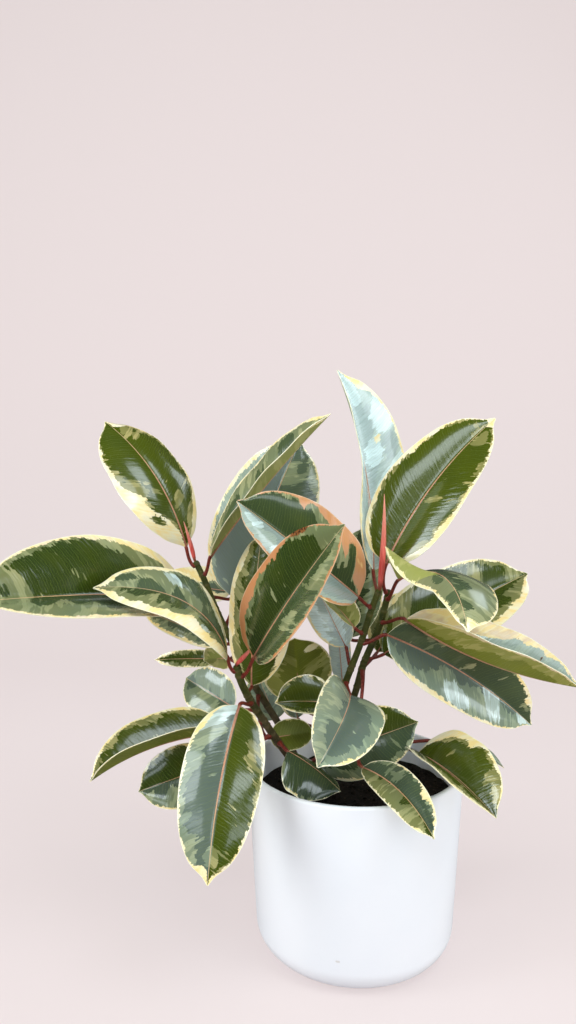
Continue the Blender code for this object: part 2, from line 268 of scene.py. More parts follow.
def blade_finish(face, roughness, specular, coat, vein_rise):
    shade = {name: colours[face == "under"] for name, colours in SHADES.items()}
    f = Finish("blade_" + face, roughness, specular)
    f.set(f.shader, {"Coat Weight": coat, "Coat Roughness": 0.09})
    foot, across, inward = f.split(f.attribute("grain", "Vector"))
    look, blush = f.attribute("look", "Vector", "Alpha")
    in_cream, in_grey, pale = f.split(look)
    olive, rust, in_pale_and_sheen_patch = f.split(f.attribute("tone", "Vector"))
    side = across.math("SIGN") * OTHER_HALF

    def mottle(start, along, over, seed=0.0, detail=2.0):
        """A cloud with this many cells a millimetre along the midrib and across it."""
        return f.cloud(f.point(start * along, across * over, seed), detail=detail)

    def draw(strip, seed):
        """A number between -0.5 and 0.5 for each strip of each half."""
        return f.dice(f.point(strip, side, seed)) - 0.5

    # The veins wander a little, and so do the strips between them.
    wander = mottle(foot, 0.11, 0.11, detail=3.0)
    foot_now = foot + wander.swing(5.0)
    strip = (foot_now * (1 / FINE_STRIP)).math("FLOOR")
    fine, fine_too = draw(strip, 1.0), draw(strip, 2.0)
    band = (foot_now * (1 / COARSE_STRIP)).math("FLOOR")
    coarse, coarse_too = draw(band, 3.0), draw(band, 4.0)
    speck = mottle(foot, 0.55, 0.45, detail=4.0)
    ragged = speck.swing(3.2)

    # Each strip carries its colour a little further in, or less far, than the next one does.
    creamy = (in_cream + ragged + fine * 1.5 + coarse * 2.4).above(0.0, 0.5)
    greyish = (in_grey + ragged + fine_too * 2.4 + coarse_too * 5.0).above(0.0, 0.6)

    # A few islands of grey-green, long in the direction of the veins.
    island = mottle(foot_now, 1 / 9, 1 / 26, side * 1.7, 2.5) + fine * 0.05 + in_grey * 0.0022
    greyish = greyish.math("MAXIMUM", island.above(0.665, 0.012))
    lightish = mottle(foot_now, 1 / 11, 1 / 34, side * 2.3 + 7.0) + fine_too * 0.10
    lightish = lightish.above(0.54, 0.04)

    # Greens, from cool to warm, and paler where the table says so. The pale blue-white is partly the leaf's
    # own colour and partly a painted sky sheen.
    warm = olive.math("ADD", mottle(foot, 0.03, 0.03, 3.0, 1.0).swing(0.7), clamp=True)
    dark = f.mix(warm, shade["dark"], shade["olive"])
    cool_grey = f.mix(lightish * 0.75, shade["grey"], shade["light"])
    warm_grey = f.mix(lightish * 0.75, shade["khaki"], shade["straw"])
    green = f.mix(greyish, dark, f.mix(warm, cool_grey, warm_grey))
    pale_and_sheen_mask = (in_pale_and_sheen_patch + ragged + fine_too * 2.4 + coarse_too * 4.0).above(0.0, 1.2)
    pale_and_sheen_patch = pale_and_sheen_mask * (lightish * 0.30 + 0.42)
    green = f.mix(pale.math("ADD", pale_and_sheen_patch * (pale * -0.5 + 1.0), clamp=True), green, shade["pale"])

    # Side veins: thin lighter lines, every second one stronger, with finer ones between them.
    on_vein = foot_now.math("PINGPONG", VEIN_SPACING / 2).below(0.16, 0.30)
    on_main_vein = foot_now.math("PINGPONG", VEIN_SPACING).below(0.14, 0.26)
    on_fine_vein = (foot_now + wander * 2.0).math("PINGPONG", FINE_VEIN_SPACING / 2).below(0.14, 0.22)
    green = f.mix(on_vein * 0.24 + on_main_vein * 0.26, green, shade["vein"])
    green = f.mix(on_fine_vein * 0.10, green, shade["vein"])
    dust = mottle(foot, 0.8, 0.8, 41.0, 1.0).above(0.73, 0.02)
    green = f.mix(dust * 0.35, green, shade["light"])

    # Cream, salmon where the leaf has a blush, and a thin pale line on the very margin,
    # a painted highlight along the rim.
    flush = mottle(foot, 0.05, 0.05, 21.0)
    reddened = (flush + blush * 0.35).above(0.62, 0.10) * blush
    cream = f.mix((flush + fine * 0.1).above(0.52, 0.25), shade["cream"], shade["edge"])
    surface = f.mix(creamy, green, f.mix(reddened, cream, shade["salmon"]))
    rim_highlight = (inward * -1.0 + fine * 0.5).above(-0.75, 0.5)
    surface = f.mix(rim_highlight * (reddened * -0.7 + 0.95), surface, shade["edge"])

    # Small rust marks on the cream, and larger dead patches where the table puts them.
    spot = mottle(foot, 0.24, 0.24, 33.0, 3.0).above(0.745, 0.02)
    surface = f.mix(spot * (creamy * 0.7 + 0.05), surface, RUST)
    scorched = (rust + ragged * 1.6 + fine * 2.0).above(0.0, 0.8)
    f.colour(f.mix(scorched, surface, f.mix(speck.above(0.5, 0.2), CHAR, SCORCH)))

    # The veins lie in shallow grooves above, and stand out below.
    wave = (foot_now * (FULL_TURN / VEIN_SPACING)).math("COSINE")
    f.bump(mottle(foot_now, 0.20, 0.030, side, 1.5) + wave * vein_rise + speck * 0.05, 0.0008, 0.6)
    return f.material


UPPER = blade_finish("upper", 0.19, 0.65, coat=0.7, vein_rise=-0.035)
UNDER = blade_finish("under", 0.48, 0.45, coat=0.0, vein_rise=0.035)
print("blade finishes:", UPPER.name, UNDER.name)

# %% [markdown]
# ## The petiole, the midrib, the stems and the sheaths
#
# A petiole is dark red by the stem and turns pink as it runs on as the midrib. The young stems are olive,
# barked in brown lower down, and ringed where a leaf or its sheath once sat. The rolled sheath over a
# growing tip is bright red. All of these carry one number, "run", that says how far along they are.


# %% Finishes of the stalks
def stalk_finish():
    f = Finish("petiole_and_midrib", 0.34)
    run = f.attribute("run", "Fac")
    grain = f.cloud(f.place(), 420.0, 3.0)
    petiole = f.mix(grain.above(0.5, 0.3), (0.110, 0.013, 0.010), (0.250, 0.038, 0.023))
    midrib = f.mix(grain.above(0.5, 0.5), (0.480, 0.190, 0.110), (0.640, 0.360, 0.210))
    tip = f.mix(grain.above(0.5, 0.5), (0.560, 0.480, 0.230), (0.640, 0.440, 0.240))
    f.colour(f.mix(run.above(0.72, 0.5), f.mix(run.above(0.04, 0.22), petiole, midrib), tip))
    f.bump(f.cloud(f.place(), 900.0, 2.0), 0.0002, 0.5)
    return f.material


def bark_finish():
    f = Finish("young_bark", 0.52)
    height = f.split(f.place())[2]
    mottle = f.cloud(f.place(), 120.0, 4.0)
    green = f.mix(mottle.above(0.5, 0.35), (0.032, 0.042, 0.004), (0.076, 0.086, 0.010))
    brown = f.mix(mottle.above(0.48, 0.3), (0.045, 0.028, 0.014), (0.110, 0.075, 0.040))
    low = (height * -1.0 + mottle.swing(0.12)).above(-0.275, 0.10)
    lenticel = f.cloud(f.place(), 520.0, 1.0).above(0.70, 0.03)
    surface = f.mix(lenticel * 0.4, f.mix(low, green, brown), (0.330, 0.270, 0.150))
    f.colour(f.mix(f.attribute("ring", "Fac") * 0.45, surface, (0.160, 0.120, 0.050)))
    f.bump(mottle + lenticel * 0.6, 0.0006, 0.8)
    return f.material


def sheath_finish():
    f = Finish("red_sheath", 0.32)
    run = f.attribute("run", "Fac")
    x, y, z = f.split(f.place())
    streak = f.cloud(f.point(x * 900.0, y * 900.0, z * 40.0))
    red = f.mix(streak.above(0.5, 0.4), (0.560, 0.040, 0.040), (0.820, 0.160, 0.130))
    surface = f.mix(run.above(0.62, 0.7), red, (0.820, 0.340, 0.250))
    f.colour(f.mix(run.below(0.05, 0.08), surface, (0.220, 0.060, 0.030)))
    f.bump(streak, 0.0003, 0.6)
    return f.material


STALK = stalk_finish()
BARK = bark_finish()
SHEATH = sheath_finish()
print("stalk finishes:", STALK.name, BARK.name, SHEATH.name)

# %% [markdown]
# ## A round stalk along a path
#
# A petiole, a stem and a sheath are all a round section that follows a path and changes width on the way.
# Blender's curves do just that: each point has a radius, a bevel gives the section, and the curve is
# converted to a mesh. The number "run" is then found for each vertex from the nearest point of the path.


# %% Make a stalk
def eased(values, slopes, at, wanted):
    """A smooth curve through values that stand at some places with some slopes, read where it is wanted."""
    i = np.clip(np.searchsorted(at, wanted, side="right") - 1, 0, len(at) - 2)
    step = (at[i + 1] - at[i]).reshape(-1, *[1] * (values.ndim - 1))
    t = (wanted - at[i]).reshape(step.shape) / step
    curve = values[i] * (2 * t**3 - 3 * t**2 + 1) + values[i + 1] * (3 * t**2 - 2 * t**3)
    return curve + slopes[i] * step * (t**3 - 2 * t**2 + t) + slopes[i + 1] * step * (t**3 - t**2)


def stalk(name, path, radii, material, runs, rings=None, round_steps=3):
    """A closed tube through path, in millimetres. Each point has a radius, a run and maybe a ring value."""
    path = np.asarray(path, float)
    curve = bpy.data.curves.new(name, "CURVE")
    curve.dimensions = "3D"
    curve.bevel_depth = MM
    curve.bevel_resolution = round_steps
    curve.use_fill_caps = True
    spline = curve.splines.new("POLY")
    spline.points.add(len(path) - 1)
    spline.points.foreach_set("co", np.c_[path * MM, np.ones(len(path))].ravel())
    spline.points.foreach_set("radius", np.asarray(radii, float))
    pick(link(name, curve))
    bpy.ops.object.convert(target="MESH")
    piece = added(name)
    mesh = piece.data
    mesh.materials.clear()
    mesh.materials.append(material)
    places = np.zeros(len(mesh.vertices) * 3)
    mesh.vertices.foreach_get("co", places)
    places = places.reshape(-1, 3) / MM
    nearest = np.argmin(((places[:, None, :] - path[None, :, :]) ** 2).sum(2), axis=1)
    for title, values in (("run", runs), ("ring", rings)):
        if values is not None:
            numbers = mesh.attributes.new(title, "FLOAT", "POINT")
            numbers.data.foreach_set("value", np.asarray(values, float)[nearest].astype(np.float32))
    smooth(piece, 50)
    return piece


def through(points, count):
    """A smooth path through a few points, and how far along them each of its equal steps lies."""
    points = np.asarray(points, float)
    lengths = np.r_[0, np.cumsum(np.linalg.norm(np.diff(points, axis=0), axis=1))]
    at = np.linspace(0, lengths[-1], count)
    return eased(points, np.gradient(points, lengths, axis=0), lengths, at), at


# %% [markdown]
# ## The stems
#
# The four stems lean apart. Each starts in the soil, and is ringed every few centimetres and at each leaf.
# The routes are the same as in the solids, and only eased at their corners.

# %% Stem routes
SOIL_TOP = 180.0
SOCKET_DEPTH = 40.0
# Each stem's radius at its foot and at its tip, and the points of its route.
STEMS = {
    "a": (4.8, 3.6, ((-62, 46, 186), (-88, 43, 240), (-118, 42, 290), (-142, 41, 337), (-165, 40, 386),
                     (-180, 38, 425), (-189, 38, 444))),
    "b": (4.8, 4.2, ((-52, 6, 186), (-82, 4, 224), (-108, -12, 269), (-124, -25, 300), (-133, -36, 327),
                     (-135, -40, 338))),
    "c": (4.6, 3.6, ((-46, 28, 186), (-28, 20, 243), (-11, 10, 302), (8, 0, 359), (18, -6, 395),
                     (26, -10, 418))),
    "d": (4.6, 3.8, ((-28, 38, 186), (-13, 30, 240), (3, 24, 290), (11, 20, 322), (30, 16, 371),
                     (40, 12, 414))),
}


def stem_line(key):
    """The stem's points: straight up from the bottom of its socket to the soil's top, then its route."""
    route = np.array(STEMS[key][2], float)
    foot = np.array([route[0][0], route[0][1], SOIL_TOP - SOCKET_DEPTH])
    return np.vstack([foot, route])


def stem_at(key, height):
    """(point, direction, radius) of a stem at a height."""
    line = stem_line(key)
    low, high = STEMS[key][:2]
    share = (height - line[0][2]) / (line[-1][2] - line[0][2])
    for start, stop in zip(line, line[1:]):
        if height <= stop[2]:
            t = (height - start[2]) / (stop[2] - start[2])
            way = (stop - start) / np.linalg.norm(stop - start)
            return start + (stop - start) * t, way, low + (high - low) * share
    way = (line[-1] - line[-2]) / np.linalg.norm(line[-1] - line[-2])
    return line[-1], way, high


# %% [markdown]
# ## Where each leaf grows, and how it lies
#
# One row is one leaf, named by its stem's letter: the height of its node, the blade's base and tip, half
# its width, the way its upper face looks, the arch and sway of its midrib as shares of its length, its
# fold in degrees, and where it is widest. These are the numbers of the solids.

# %% The leaf table
LEAVES = {
    "a1": (440, (-200, 38, 462), (-302, 72, 611), 50, (0.5, -0.72, 0.5), 0.1, 0.03, -12, 0.85),
    "a2": (427, (-170, 35, 451), (-29, 12, 618), 41, (-0.74, -0.35, 0.57), 0.02, 0, 18, 0.85),
    "a3": (398, (-147, 72, 395), (-63, 94, 590), 60, (0, -1, 0.1), 0.03, 0, 10, 1),
    "a4": (380, (-199, 20, 404), (-367, -190, 438), 63, (0.63, -0.4, 0.66), 0.03, 0, 34, 1),
    "a5": (364, (-150, 85, 398), (-262, 110, 392), 34, (0.1, -0.6, 0.75), 0.08, 0, 8, 1),
    "a6": (345, (-158, 30, 346), (-250, 20, 388), 18, (0.2, -0.8, 0.5), 0.04, 0, 8, 1),
    "a7": (330, (-160, 92, 310), (-250, 100, 307), 12, (-0.1, -0.8, 0.5), 0.04, 0, 6, 1),
    "a8": (316, (-153, 64, 318), (-184, 75, 313), 22, (0.1, 0.8, 0.5), 0.06, 0, 6, 1.15),
    "a9": (236, (-94, 90, 232), (-119, 108, 289), 26, (0.1, -0.9, 0.3), 0.05, 0, 8, 1),
    "a10": (280, (-99, 23, 232), (-47, 24, 240), 19, (0, 0.95, -0.2), 0.05, 0, 8, 1),
    "a11": (305, (-120, 85, 318), (-90, 215, 400), 40, (0, -0.5, 0.85), 0.08, 0, 10, 1),
    "b1": (333, (-145, -48, 352), (-275, -110, 437), 42, (0.6, -0.35, 0.72), 0.22, 0, 4, 1),
    "b2": (325, (-115, -55, 352), (-21, -112, 502), 47, (-0.7, -0.7, 0.18), 0.03, 0, 24, 1),
    "b3": (300, (-120, -4, 305), (-108, 22, 483), 46, (-0.54, -0.83, 0.15), 0.03, 0, -14, 1),
    "b4": (292, (-131, -60, 299), (-157, -155, 150), 42, (0.1, -0.85, 0.52), 0.06, 0.03, 6, 1.08),
    "b5": (280, (-141, 0, 277), (-203, 50, 298), 28, (-0.43, -0.7, 0.55), 0.05, 0, 6, 1),
    "b6": (266, (-149, -28, 258), (-295, -60, 214), 38, (-0.27, -0.1, 0.95), 0.08, 0, 38, 1),
    "b7": (248, (-160, -20, 218), (-242, -60, 203), 34, (0.3, -0.8, 0.45), 0.05, 0, 6, 1),
    "b8": (200, (-45, 10, 212), (69, -30, 271), 39, (-0.05, -0.93, 0.35), 0.03, 0, 10, 1),
    "b9": (236, (-78, -20, 233), (-20, -60, 203), 38, (0.3, -0.38, 0.87), 0.05, 0, -36, 1),
    "c1": (414, (25, 44, 433), (-16, 109, 677), 52, (0.53, -0.83, 0.23), 0.02, 0.045, 37, 1),
    "c2": (397, (1, -16, 411), (-134, -40, 521), 53, (0.47, -0.81, 0.36), 0.02, 0, 28, 1),
    "c3": (366, (-2, -8, 374), (-44, -25, 420), 20, (0.5, 0.7, 0.5), 0.05, 0, 20, 1),
    "c4": (355, (36, -8, 365), (207, 4, 255), 44, (0.1, -0.98, 0.15), 0.02, -0.045, 22, 1.05),
    "c5": (326, (-10, 16, 346), (-55, 38, 440), 26, (-0.3, -0.9, 0.3), 0.04, 0, 15, 1),
    "c6": (252, (-64, 45, 268), (-70, 22, 354), 43, (0, 0.95, -0.25), 0.05, 0, 8, 1),
    "c7": (305, (-8, -26, 300), (-49, -140, 263), 43, (0.48, -0.45, 0.74), 0.12, 0, 28, 0.9),
    "c8": (285, (-29, 6, 281), (-93, -22, 290), 30, (0.4, -0.58, 0.7), 0.05, 0, 32, 1.1),
    "c9": (240, (-66, 50, 248), (-84, 70, 306), 18, (0.1, -0.9, 0.3), 0.05, 0, 15, 1),
    "d1": (411, (36, 4, 447), (163, 24, 613), 53, (-0.4, -0.78, 0.49), 0.02, -0.05, 14, 1.15),
    "d2": (404, (48, -12, 430), (95, -150, 401), 56, (0.1, -0.2, 0.97), 0.2, -0.07, 22, 0.9),
    "d3": (376, (56, -18, 385), (241, -60, 319), 45, (0.25, -0.35, 0.9), -0.07, 0, 46, 1),
    "d4": (330, (38, 38, 331), (232, 114, 417), 57, (-0.02, -0.72, 0.68), 0.03, 0, 20, 1.1),
    "d5": (350, (-2, 44, 350), (18, 84, 482), 32, (0, -1, 0.1), 0.03, 0, 8, 1),
    "d6": (262, (70, -27, 233), (127, -148, 215), 45, (-0.05, -0.28, 0.96), 0.07, 0, 40, 1),
    "d7": (215, (104, 48, 220), (188, 45, 186), 20, (0.1, -0.1, 0.99), 0.1, 0, 8, 1),
    "d8": (318, (34, 72, 325), (120, 190, 370), 38, (0, -0.5, 0.85), 0.08, 0, 10, 1),
    "d9": (316, (4, -60, 230), (59, -186, 213), 22, (-0.44, -0.25, 0.86), 0.04, -0.06, 22, 0.85),
    "d10": (274, (-11, 49, 288), (-21, 41, 398), 13.5, (0, -0.95, 0.1), 0.03, 0, 8, 1),
}

# Leaves whose halves lie unlike each other, or are curled. Left half, then right half: fold at the base, fold
# from 60% of the length on, and the share of the half's width left of the curl, at the same two places.
UNEVEN = {
    "a2": ((18, 18, 1, 1), (36, 36, 1, 1)),
    "a4": ((34, 34, 1, 1), (26, 26, 1, 1)),
    "b6": ((38, 38, 1, 1), (50, 50, 1, 1)),
    "c1": ((30, 50, 1, 1), (37, 37, 1, 1)),
    "d2": ((-5, -12, 1, 1), (60, -30, 1.45, 0.35)),
    "d3": ((60, 60, 1, 1), (60, 60, 1, 1)),
}

# How each leaf is coloured. First how far in from the margin the cream reaches, and then the grey-green, in
# percent of the half's width: one number, or six along the leaf from base to tip. Then how pale and how olive
# the leaf is, where the paleness is partly a painted sky sheen, and last how salmon its cream is. A pair of
# values is for the left half and the right half.
STATIONS = (0.0, 0.2, 0.4, 0.6, 0.8, 1.0)
LOOKS = {
    "a1": (((70, 55, 12, 7, 6, 10), (35, 10, 4, 4, 14, 60)),
        ((75, 60, 24, 10, 10, 12), (45, 16, 6, 8, 30, 80)), 0, (0.85, 1), 0.1),
    "a2": (((12, 5, 6, 7, 16, 70), (12, 6, 6, 8, 20, 70)), 99, (0.04, 0.1), (0.45, 0.6), 0.15),
    "a3": (((9, 6, 6, 7, 9, 16), (10, 8, 7, 6, 8, 12)),
        ((25, 22, 34, 36, 46, 60), (20, 10, 12, 20, 30, 30)), (0.26, 0.08), (0, 0.3), 0.05),
    "a4": (((36, 12, 7, 8, 12, 16), (46, 22, 5, 5, 7, 12)),
        ((40, 30, 40, 55, 70, 80), (60, 40, 8, 8, 30, 60)), (0.03, 0), (0.35, 0.42), 0.25),
    "a5": (((75, 70, 60, 60, 70, 80), (70, 60, 60, 70, 70, 80)), (90, (80, 80, 80, 90, 90, 90)), 0.1, 0.3,
        0.05),
    "a6": (((20, 20, 22, 24, 30, 60), (16, 12, 14, 18, 24, 60)),
        ((60, 60, 60, 70, 70, 80), (50, 50, 60, 60, 70, 80)), 0.08, 0.4, 0.05),
    "a7": (((10, 10, 12, 16, 34, 70), (10, 10, 10, 16, 34, 70)),
        ((40, 40, 40, 40, 50, 80), (40, 30, 30, 40, 50, 80)), 0, 0.5, 0.05),
    "a8": ((8, 6, 6, 6, 8, 12), ((90, 90, 60, 60, 90, 90), (90, 90, 90, 60, 60, 90)), 0.1, 0.9, 0),
    "a9": ((4, 4, 4, 4, 6, 10), ((80, 80, 60, 60, 60, 60), 90), 0.2, 0, 0),
    "a10": ((5, 3, 3, 3, 4, 8), 0, 0, 0.45, 0),
    "a11": (((20, 14, 12, 10, 12, 20), (16, 10, 8, 12, 18, 30)),
        ((60, 30, 40, 30, 40, 50), (30, 50, 30, 40, 50, 60)), 0, 0.5, 0.1),
    "b1": (((30, 40, 46, 20, 26, 80), (40, 12, 8, 22, 34, 90)), ((99, 99, 90, 80, 90, 99), 99),
        (0.02, 0.05), (0.5, 0.35), 0.05),
    "b2": (((36, 26, 9, 5, 5, 8), (8, 6, 5, 6, 12, 22)),
        ((44, 34, 12, 8, 40, 99), (10, 10, 10, 20, 60, 99)), (0, 0.03), (0.36, 0.44), 0.95),
    "b3": (((30, 28, 26, 28, 30, 30), (20, 14, 10, 14, 20, 30)),
        ((50, 60, 60, 60, 60, 60), (30, 30, 40, 30, 30, 40)), 0, (0.7, 0.8), 0.03),
    "b4": (((16, 6, 5, 5, 6, 24), (24, 8, 4, 4, 8, 30)),
        ((26, 14, 8, 8, 10, 40), (99, 66, 22, 16, 34, 60)), (0, 0.12), (0.8, 0.2), 0.15),
    "b5": (((8, 8, 8, 8, 10, 16), (10, 9, 8, 8, 8, 12)), ((99, 80, 80, 99, 80, 80), 99), (0.06, 0.22),
        (0.25, 0.1), 0),
    "b6": (((14, 8, 8, 8, 12, 40), (14, 9, 7, 6, 12, 50)),
        ((20, 12, 10, 10, 20, 50), (20, 26, 24, 20, 40, 80)), 0, (0.6, 0.8), 0.03),
    "b7": (((7, 6, 5, 6, 8, 14), (8, 7, 6, 6, 10, 16)),
        ((60, 60, 70, 60, 60, 60), (20, 14, 12, 14, 20, 30)), (0.06, 0), (0.25, 0.45), 0),
    "b8": ((8, 6, 5, 5, 6, 12), ((30, 14, 14, 10, 14, 30), (60, 40, 20, 14, 20, 30)), (0, 0.04),
        (0.75, 0.2), 0),
    "b9": ((3, 2, 2, 2, 3, 5), (10, 5, 5, 5, 5, 10), 0.03, (0.3, 0.2), 0),
    "c1": (((10, 8, 8, 8, 20, 60), (8, 5, 5, 6, 18, 60)),
        ((90, 90, 90, 90, 90, 99), (80, 70, 60, 60, 70, 90)), (0.62, 0.56), (0.1, 0.05), 0),
    "c2": (((9, 7, 6, 6, 7, 14), (70, 46, 10, 8, 7, 14)),
        ((30, 20, 20, 60, 99, 99), (80, 75, 40, 14, 10, 20)), (0.42, 0.02), (0.2, 0.35), 0.85),
    "c3": ((8, 6, 6, 6, 8, 14), (90, 80, 60, 80, 90, 90), 0.05, 0.7, 0),
    "c4": (((5, 4, 5, 5, 12, 16), (14, 12, 5, 8, 6, 10)),
        ((8, 6, 8, 10, 20, 30), (50, 60, 72, 84, 99, 99)), (0.05, 0.14), (0.52, 0), 0.05),
    "c5": (((14, 12, 16, 12, 16, 30), (14, 12, 12, 16, 16, 30)), 80, (0.55, 0.6), (0.1, 0.2), 0),
    "c6": ((7, 5, 5, 5, 7, 12), ((30, 34, 24, 16, 20, 30), (50, 60, 40, 30, 24, 30)), 0, (0.55, 0.8), 0),
    "c7": (((6, 5, 5, 6, 14, 24), (5, 4, 5, 5, 6, 12)), ((70, 44, 30, 34, 60, 90), 99), (0.15, 0.16),
        (0.05, 0.3), 0),
    "c8": ((7, 6, 5, 6, 10, 40), ((10, 10, 10, 14, 20, 50), (20, 14, 10, 14, 20, 50)), 0, 0.8, 0),
    "c9": (((18, 14, 12, 14, 20, 30), (14, 12, 12, 14, 20, 30)), (90, 80, 80, 80, 90, 90), (0.15, 0.2),
        0.2, 0),
    "d1": (((14, 6, 7, 9, 5, 16), (18, 11, 7, 6, 5, 16)),
        ((18, 10, 10, 12, 14, 40), (24, 18, 10, 9, 10, 40)), 0, 1, 0.12),
    "d2": (((6, 4, 4, 4, 8, 30), (10, 9, 11, 14, 16, 40)), ((60, 60, 70, 99, 99, 99), 99), (0.04, 0.06),
        (0.35, 0.75), 0.05),
    "d3": (((60, 50, 34, 22, 18, 40), (22, 12, 8, 8, 14, 40)), (99, (60, 60, 50, 60, 70, 90)), (0.38, 0),
        (0, 0.95), 0.34),
    "d4": (((9, 6, 6, 6, 9, 24), (10, 8, 12, 24, 34, 60)),
        ((24, 16, 14, 10, 30, 60), (60, 40, 30, 40, 50, 80)), 0, (0.6, 0.7), 0.03),
    "d5": ((3, 3, 3, 3, 4, 8), ((60, 80, 80, 60, 60, 60), (60, 60, 80, 80, 60, 60)), 0.02, 0.15, 0),
    "d6": (((40, 24, 9, 8, 10, 24), (10, 8, 8, 10, 14, 30)),
        ((46, 34, 14, 12, 40, 60), (20, 20, 20, 30, 40, 60)), 0, (0.85, 0.6), 0.03),
    "d7": ((7, 6, 6, 6, 7, 12), (99, 90, 80, 90, 99, 99), 0.22, 0.2, 0),
    "d8": (((18, 14, 12, 10, 12, 20), (16, 10, 8, 12, 18, 30)),
        ((60, 30, 40, 30, 40, 50), (30, 50, 30, 40, 50, 60)), 0, 0.5, 0.1),
    "d9": (((8, 7, 6, 8, 14, 40), (8, 7, 6, 8, 10, 30)), ((36, 18, 12, 20, 46, 80), 99), (0.05, 0),
        (0.1, 0.55), 0.15),
    "d10": ((6, 5, 5, 6, 8, 20), 80, (0.6, 0.9), 0.2, 0),
}

# The right half of this leaf shows its under face up to this share of its length.
TURNED_OVER = {"d2": 0.46}

# Single patches: the half and the colour, from and to along the midrib, and from and to across, in percent.
# A pale patch is partly the leaf's own and partly a painted sheen.
PATCHES = {
    "a1": (("L grey", 30, 44, 42, 86), ("L grey", 44, 52, 80, 100), ("L grey", -5, 17, 12, 48),
        ("L dark", 11, 17, 42, 78), ("L dark", 18, 31, 0, 62), ("R grey", 79, 90, 5, 62),
        ("R cream", 86, 105, 15, 100), ("R grey", 74, 79, 30, 55), ("R grey", 22, 31, 12, 50),
        ("R grey", 4, 16, 40, 95)),
    "a2": (("L dark", 12, 30, 15, 75), ("L dark", 42, 52, 0, 60), ("L dark", 62, 74, 20, 80)),
    "a3": (("R grey", 70, 86, 0, 80), ("R dark", 76, 84, 30, 60)),
    "a4": (("R grey", 13, 24, 45, 88), ("R grey", 76, 100, 0, 86), ("R dark", 85, 93, 10, 40),
        ("L grey", 78, 92, 0, 50), ("R grey", 53, 56, 30, 40)),
    "b1": (("R cream", -20, 24, 30, 100), ("R dark", 22, 50, 35, 85), ("R dark", 74, 88, 30, 72),
        ("R pale", 46, 56, 35, 80), ("R dark", 0, 30, 0, 35), ("L dark", 72, 84, 2, 36),
        ("L dark", 44, 64, 0, 52), ("L dark", 16, 34, 5, 50), ("L pale", 22, 30, 50, 75)),
    "b2": (("L grey", 80, 100, 0, 85), ("R grey", 55, 78, 30, 92), ("R grey", 27, 42, 30, 74),
        ("R dark", 74, 92, 0, 26), ("L dark", 6, 16, 20, 55), ("L cream", 45, 52, 82, 100),
        ("L rust", 64, 78, 84, 100)),
    "b4": (("R pale", -15, 12, 10, 100), ("R grey", 56, 62, 66, 95), ("R grey", 70, 80, 45, 85),
        ("R cream", 86, 105, 20, 100), ("L grey", 14, 30, 50, 82), ("L grey", 80, 92, 0, 34),
        ("R grey", 80, 90, 0, 30), ("L cream", 93, 105, 20, 100)),
    "b6": (("R grey", 5, 75, 0, 22),),
    "c1": (("R pale", 2, 44, 6, 100), ("R pale", 56, 76, 40, 100), ("R pale", 46, 60, 5, 50),
        ("R cream", 80, 96, 55, 100), ("R cream", 55, 60, 36, 50), ("R dark", 44, 56, 55, 85),
        ("R dark", 70, 76, 34, 50), ("L dark", 15, 45, 50, 90), ("R pale", 78, 100, 5, 50),
        ("L pale", 20, 90, 0, 45), ("R dark", 10, 40, 0, 10)),
    "c2": (("R grey", 20, 40, 30, 95), ("R cream", 48, 56, 78, 100), ("R cream", -20, 10, 45, 100),
        ("R dark", 8, 15, 20, 80), ("L pale", 74, 92, 15, 60), ("L pale", 50, 58, 40, 80)),
    "c4": (("L grey", 10, 32, 40, 85), ("L grey", 44, 50, 14, 34), ("L cream", 80, 86, 62, 95),
        ("L grey", 84, 90, 30, 70), ("R pale", 33, 50, 35, 98), ("R pale", 62, 75, 0, 85),
        ("R pale", 88, 100, 0, 60), ("R dark", 12, 30, 0, 35)),
    "c5": (("L pale", 5, 95, 40, 100), ("R pale", 0, 60, 0, 45), ("R pale", 62, 95, 20, 100),
        ("R dark", 10, 40, 50, 80)),
    "c6": (("L grey", 30, 46, 10, 80), ("R grey", 52, 66, 0, 62), ("L cream", 62, 74, 35, 90)),
    "c7": (("L cream", 72, 84, 78, 100),),
    "d1": (("R grey", 78, 90, 5, 62), ("R grey", 37, 42, 10, 45), ("R grey", 52, 66, 84, 100),
        ("R grey", 0, 10, 60, 90), ("L grey", 82, 100, 0, 22), ("L grey", 86, 92, 20, 60),
        ("L cream", 44, 54, 84, 100), ("R cream", 93, 105, 0, 100), ("L cream", 95, 105, 0, 100)),
    "d2": (("L grey", 30, 42, 20, 70), ("L cream", 90, 105, 0, 100), ("R dark", 45, 55, 10, 60),
        ("R dark", 68, 78, 10, 70)),
    "d3": (("L grey", 26, 115, 0, 74), ("L grey", 52, 110, 30, 92), ("L pale", 30, 40, 45, 70),
        ("L rust", 70, 73, 55, 63), ("L rust", 42, 44, 80, 86)),
    "d4": (("L grey", 6, 20, 10, 100), ("L grey", 56, 68, 0, 95), ("L grey", 84, 94, 0, 90),
        ("R dark", 55, 85, 0, 45), ("L dark", 22, 54, 0, 90), ("R grey", 70, 82, 30, 60)),
    "d6": (("L cream", 30, 36, 70, 90), ("L grey", 62, 75, 50, 90)),
    "d9": (("L grey", 24, 44, 20, 70), ("L cream", 60, 70, 60, 100)),
}
print("leaves:", len(LEAVES), "looks:", len(LOOKS))

# %% [markdown]
# ## The shape of a blade
#
# The outline is round at the base and ends in a short drip tip. It is the solids' outline with its corners
# eased. The midrib bows out of its chord, and the two halves rise or droop from it by the fold.


# %% Outline and midrib
NARROWEST = 0.012
OUTLINE = np.array([
    (0.00, 0.06), (0.03, 0.34), (0.09, 0.60), (0.19, 0.84), (0.32, 0.97), (0.46, 1.00),
    (0.60, 0.96), (0.73, 0.85), (0.84, 0.66), (0.915, 0.42), (0.96, 0.16), (1.00, 0.02),
])


